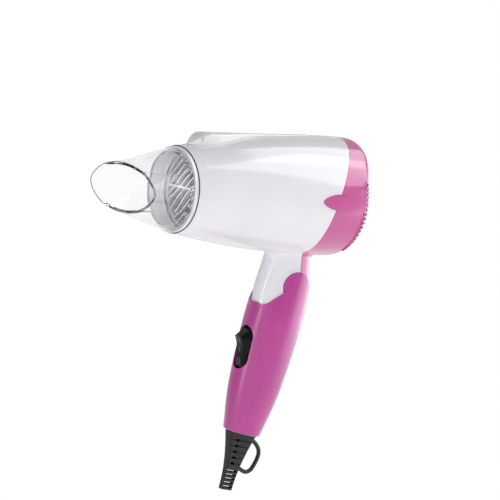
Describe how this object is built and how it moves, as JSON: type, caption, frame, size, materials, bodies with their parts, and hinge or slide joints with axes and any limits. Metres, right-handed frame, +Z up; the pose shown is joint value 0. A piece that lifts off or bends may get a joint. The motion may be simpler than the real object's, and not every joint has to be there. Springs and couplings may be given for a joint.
{
  "type": "hair dryer",
  "caption": "Folding travel hair dryer with a vented rear cover, a swivelling clear air nozzle and a handle that folds forward under the barrel.",
  "frame": {"origin": "middle of the hand grip, on the handle's own axis, in the plane of symmetry", "axes": "+Z up, square to the barrel; +X towards the air inlet, so air leaves along -X; +Y to the left as seen from behind the inlet"},
  "size_m": [0.1636, 0.0752, 0.2215],
  "materials": {
    "white_plastic": "satin",
    "white_gloss": "gloss",
    "pink_plastic": "gloss",
    "pink_gloss": "gloss",
    "clear_plastic": "clear",
    "grey_plastic": "satin",
    "dark_plastic": "satin",
    "black_gloss": "gloss",
    "duct_plastic": "satin",
    "rubber": "matt",
    "steel": "polished",
    "zinc_steel": "zinc plated",
    "bronze": "satin",
    "ferrite": "matt",
    "copper": "satin",
    "brass": "satin",
    "board": "matt",
    "mica": "satin",
    "resistance_wire": "satin"
  },
  "bodies": {
    "handle": {"handle_front": "pink_plastic", "handle_back": "pink_plastic", "handle_screw": "zinc_steel", "hinge_pin": "steel", "switch_body": "dark_plastic", "rocker_pin": "steel", "switch_terminals": "brass", "strain_relief": "rubber", "cord_clamp": "dark_plastic", "clamp_screws": "zinc_steel"},
    "rocker_key": {"rocker": "black_gloss"},
    "housing": {"barrel_shell": "white_plastic", "rear_cover": "pink_plastic", "inlet_screen": "dark_plastic", "side_clips": "pink_gloss", "top_trim": "white_gloss", "ion_emitter": "dark_plastic", "front_grille": "grey_plastic", "stator": "duct_plastic", "motor_can": "zinc_steel", "motor_end_cap": "duct_plastic", "bearings": "bronze", "magnets": "ferrite", "rectifier_board": "board", "diodes": "dark_plastic", "mica_sleeve": "mica", "mica_upright": "mica", "mica_level": "mica", "heater_coils": "resistance_wire", "thermostat": "zinc_steel", "thermal_fuse": "zinc_steel", "heater_terminals": "brass", "housing_screw": "zinc_steel"},
    "fan": {"impeller": "duct_plastic", "motor_shaft": "steel", "armature": "steel", "commutator": "copper"},
    "ring": {"swivel_ring": "white_gloss"},
    "concentrator": {"nozzle": "clear_plastic"}
  },
  "joints": [
    {"name": "handle_fold", "type": "hinge", "parent": "handle", "child": "housing", "pos_m": [0.01196, 0, 0.0588], "axis": [0, -1, 0], "range_deg": [0, 75]},
    {"name": "rocker", "type": "hinge", "parent": "handle", "child": "rocker_key", "pos_m": [-0.00553, 0, 0.01796], "axis": [0, 1, 0], "range_deg": [0, 22]},
    {"name": "fan_spin", "type": "hinge", "parent": "housing", "child": "fan", "pos_m": [0.01196, 0, 0.11389], "axis": [1, 0, 0], "continuous": true},
    {"name": "nozzle_swivel", "type": "hinge", "parent": "housing", "child": "ring", "pos_m": [0.01196, 0, 0.11389], "axis": [1, 0, 0], "continuous": true},
    {"name": "nozzle_pull", "type": "slide", "parent": "ring", "child": "concentrator", "axis": [-1, 0, 0], "range_m": [0, 0.012]}
  ]
}
